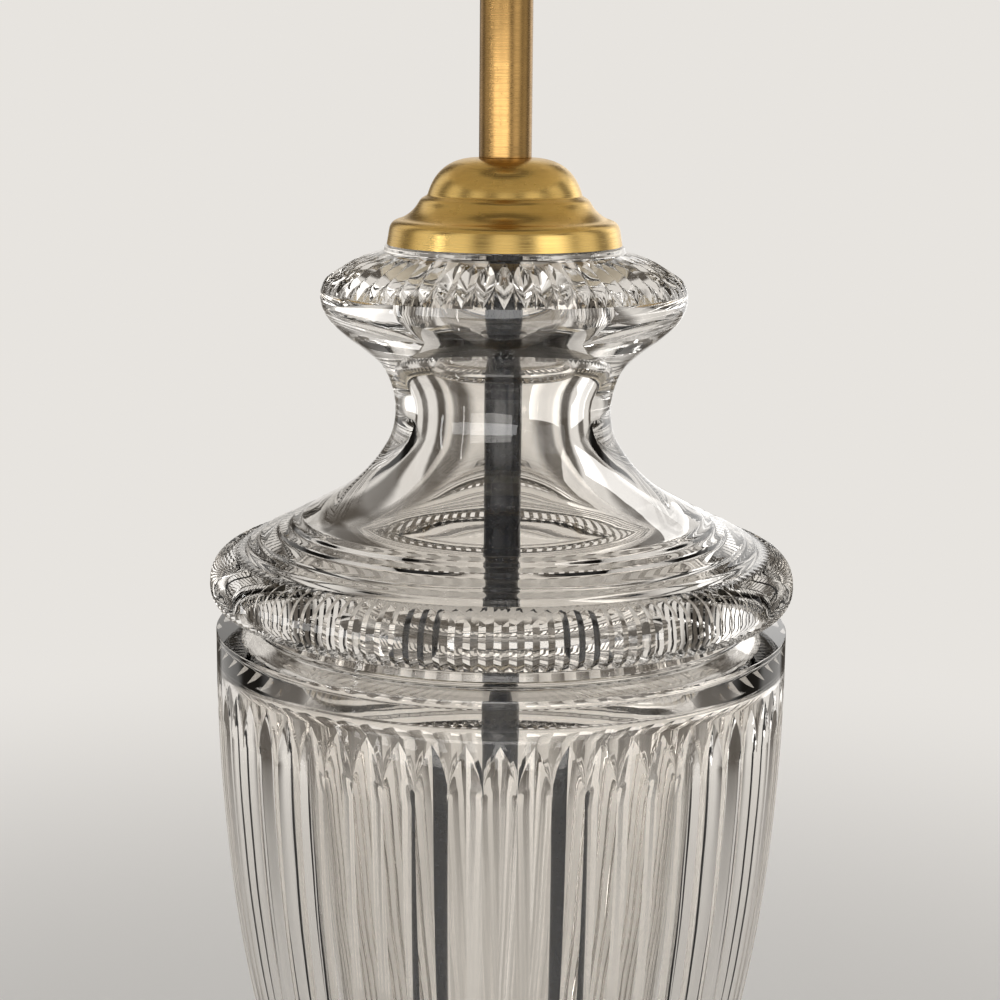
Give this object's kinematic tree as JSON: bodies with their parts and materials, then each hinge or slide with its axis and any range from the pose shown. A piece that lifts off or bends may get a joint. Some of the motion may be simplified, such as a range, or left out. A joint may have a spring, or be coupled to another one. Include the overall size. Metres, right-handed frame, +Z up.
{
  "type": "table lamp",
  "caption": "Table lamp on a covered cut-glass urn with brass foot, cap and neck, a push-through switch, and a tapered drum shade clamped on the lampholder.",
  "frame": {"origin": "on the table under the lamp's axis, at the felt's underside", "axes": "+Z up along the lamp's axis, +Y towards the back, where the cord inlet is"},
  "size_m": [0.4011, 0.4012, 0.8231],
  "materials": {
    "felt": "dense green-black felt",
    "satin_brass": "satin gold brass, brushed round",
    "cast_weight": "rough black casting",
    "rubber": "matt black rubber",
    "steel": "zinc-plated steel",
    "clear_seal": "clear soft ring",
    "cut_glass": "slightly smoky cut and polished glass",
    "black_sleeve": "blue-black gloss",
    "antique_brass": "darker brushed antique brass",
    "moulding": "dark heat-proof moulding",
    "contact_brass": "bright contact brass",
    "ring_plastic": "ivory moulding",
    "nickel": "nickel-plated screw cap",
    "black_glass": "black vitrite glass",
    "solder": "tinned solder tip",
    "bulb_clear": "clear blown glass",
    "filament": "yellow phosphor sticks",
    "shade_wire": "white-coated wire",
    "shade_fabric": "dark taupe slub linen",
    "shade_lining": "cream laminate lining",
    "shade_tape": "folded linen tape"
  },
  "bodies": {
    "root": {"felt_pad": "felt", "foot_shell": "satin_brass", "base_weight": "cast_weight", "inlet_grommet": "rubber", "base_spacer": "steel", "rod_nut": "steel", "rod_washer": "steel", "threaded_rod": "steel", "bowl_cup": "satin_brass", "bowl_gasket": "clear_seal", "glass_bowl": "cut_glass", "lid_gasket": "clear_seal", "glass_lid": "cut_glass", "rod_sleeve": "black_sleeve", "cap_gasket": "clear_seal", "vase_cap": "satin_brass", "cap_locknut": "steel", "neck_tube": "antique_brass", "neck_bush": "antique_brass", "holder_cap": "antique_brass", "holder_grub_screw": "steel", "switch_block": "moulding", "terminal_screws": "contact_brass", "holder_insulator": "moulding", "centre_contact": "contact_brass", "screw_shell": "contact_brass", "holder_liner": "moulding", "holder_shell": "antique_brass", "shade_ring_lower": "ring_plastic"},
    "switch": {"switch_bar": "antique_brass"},
    "bulb": {"bulb_cap": "nickel", "bulb_insulator": "black_glass", "bulb_contact": "solder", "bulb_stem": "bulb_clear", "bulb_filaments": "filament", "bulb_glass": "bulb_clear"},
    "clamp_ring": {"shade_ring_upper": "ring_plastic"},
    "shade": {"shade_fitter": "shade_wire", "shade_arms": "shade_wire", "shade_bottom_hoop": "shade_wire", "shade_top_hoop": "shade_wire", "shade_cover": "shade_fabric", "shade_lining": "shade_lining", "shade_tape_top": "shade_tape", "shade_tape_bottom": "shade_tape"}
  },
  "joints": [
    {"name": "switch_push", "type": "slide", "parent": "root", "child": "switch", "axis": [1, 0, 0], "range_m": [0, 0.006]},
    {"name": "bulb_out", "type": "slide", "parent": "root", "child": "bulb", "axis": [0, 0, 1], "range_m": [0, 0.025]},
    {"name": "ring_up", "type": "slide", "parent": "root", "child": "clamp_ring", "axis": [0, 0, 1], "range_m": [0, 0.008]},
    {"name": "shade_turn", "type": "hinge", "parent": "root", "child": "shade", "pos_m": [0, 0, 0.615], "axis": [0, 0, 1], "continuous": true}
  ]
}
